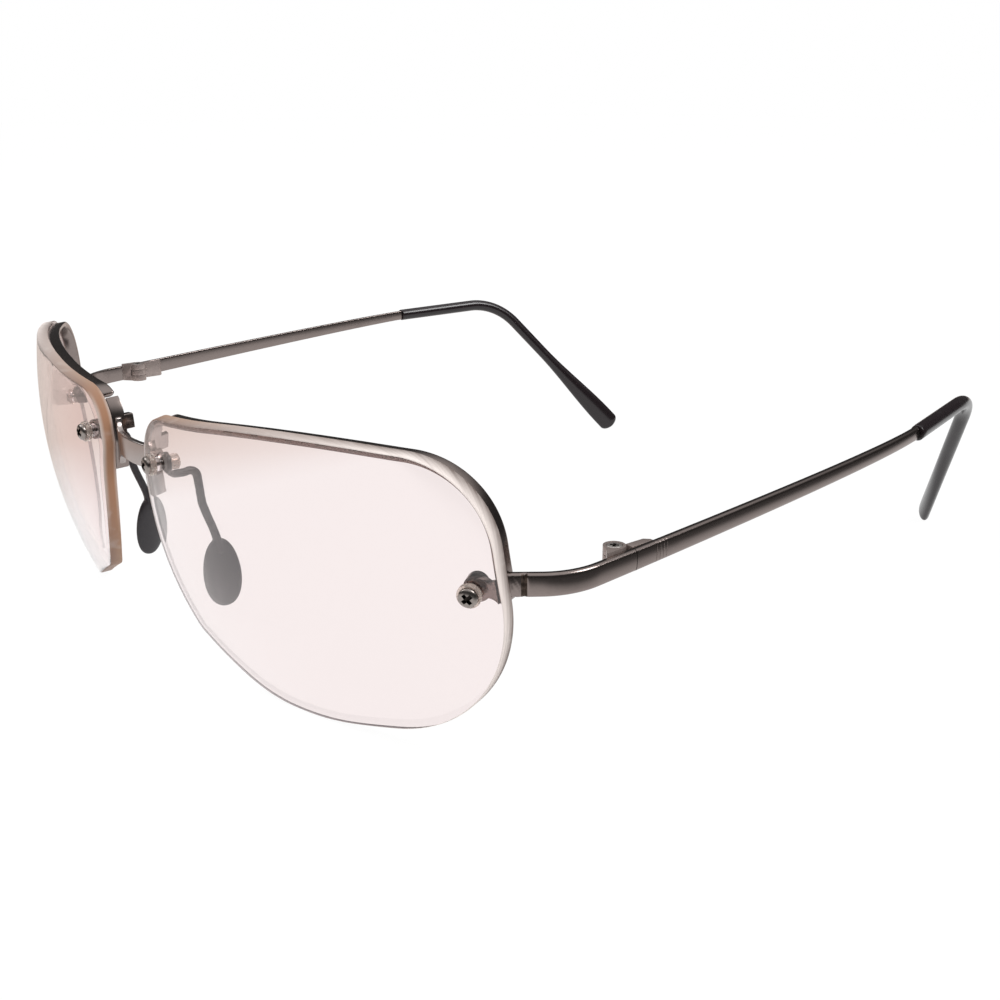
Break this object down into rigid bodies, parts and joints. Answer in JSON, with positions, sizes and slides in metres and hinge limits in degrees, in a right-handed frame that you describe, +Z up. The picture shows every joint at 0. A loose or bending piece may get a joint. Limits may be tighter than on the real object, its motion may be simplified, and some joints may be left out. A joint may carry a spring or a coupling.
{
  "type": "semi-rimless eyeglasses",
  "caption": "Semi-rimless eyeglasses with clear wraparound lenses screwed to a metal brow bar, an arched bridge, fixed black nose pads and flat folding temples with hooked black tips.",
  "frame": {"origin": "Middle of the width and depth, on the surface that the lens bottoms and the temple tips stand on.", "axes": "+X to the wearer's left, -Y the way the wearer looks, +Z up. Temples open at rest."},
  "size_m": [0.1442, 0.148, 0.0409],
  "materials": {
    "lens": "clear polished plastic with a faint pink tint",
    "frame_metal": "gunmetal plating, satin gloss",
    "dark_metal": "dark gunmetal plating",
    "screw_metal": "bright steel",
    "clear_plastic": "clear moulded plastic",
    "black_plastic": "black moulded plastic, soft gloss"
  },
  "bodies": {
    "front": {"bridge": "frame_metal", "lens_left": "lens", "lens_right": "lens", "brow_bar_left": "frame_metal", "brow_bar_right": "frame_metal", "brow_tab_left": "frame_metal", "brow_tab_right": "frame_metal", "endpiece_left": "frame_metal", "endpiece_right": "frame_metal", "bridge_leg_left": "frame_metal", "bridge_leg_right": "frame_metal", "nasal_tab_left": "frame_metal", "nasal_tab_right": "frame_metal", "nasal_screw_left": "screw_metal", "nasal_screw_right": "screw_metal", "temporal_screw_left": "screw_metal", "temporal_screw_right": "screw_metal", "nasal_bushing_left": "clear_plastic", "nasal_bushing_right": "clear_plastic", "temporal_bushing_left": "clear_plastic", "temporal_bushing_right": "clear_plastic", "nasal_cap_left": "clear_plastic", "nasal_cap_right": "clear_plastic", "temporal_nut_left": "dark_metal", "temporal_nut_right": "dark_metal", "nose_pad_left": "black_plastic", "nose_pad_right": "black_plastic", "hinge_front_left": "frame_metal", "hinge_front_right": "frame_metal", "hinge_screw_left": "screw_metal", "hinge_screw_right": "screw_metal"},
    "left_temple": {"hinge_rear_left": "frame_metal", "temple_left": "frame_metal", "core_wire_left": "screw_metal", "temple_tip_left": "black_plastic"},
    "right_temple": {"hinge_rear_right": "frame_metal", "temple_right": "frame_metal", "core_wire_right": "screw_metal", "temple_tip_right": "black_plastic"}
  },
  "joints": [
    {"name": "left_hinge", "type": "hinge", "parent": "front", "child": "left_temple", "pos_m": [0.06938, -0.03899, 0.02604], "axis": [0, 0, 1], "range_deg": [0, 84]},
    {"name": "right_hinge", "type": "hinge", "parent": "front", "child": "right_temple", "pos_m": [-0.06938, -0.03899, 0.02604], "axis": [0, 0, -1], "range_deg": [0, 76]}
  ]
}
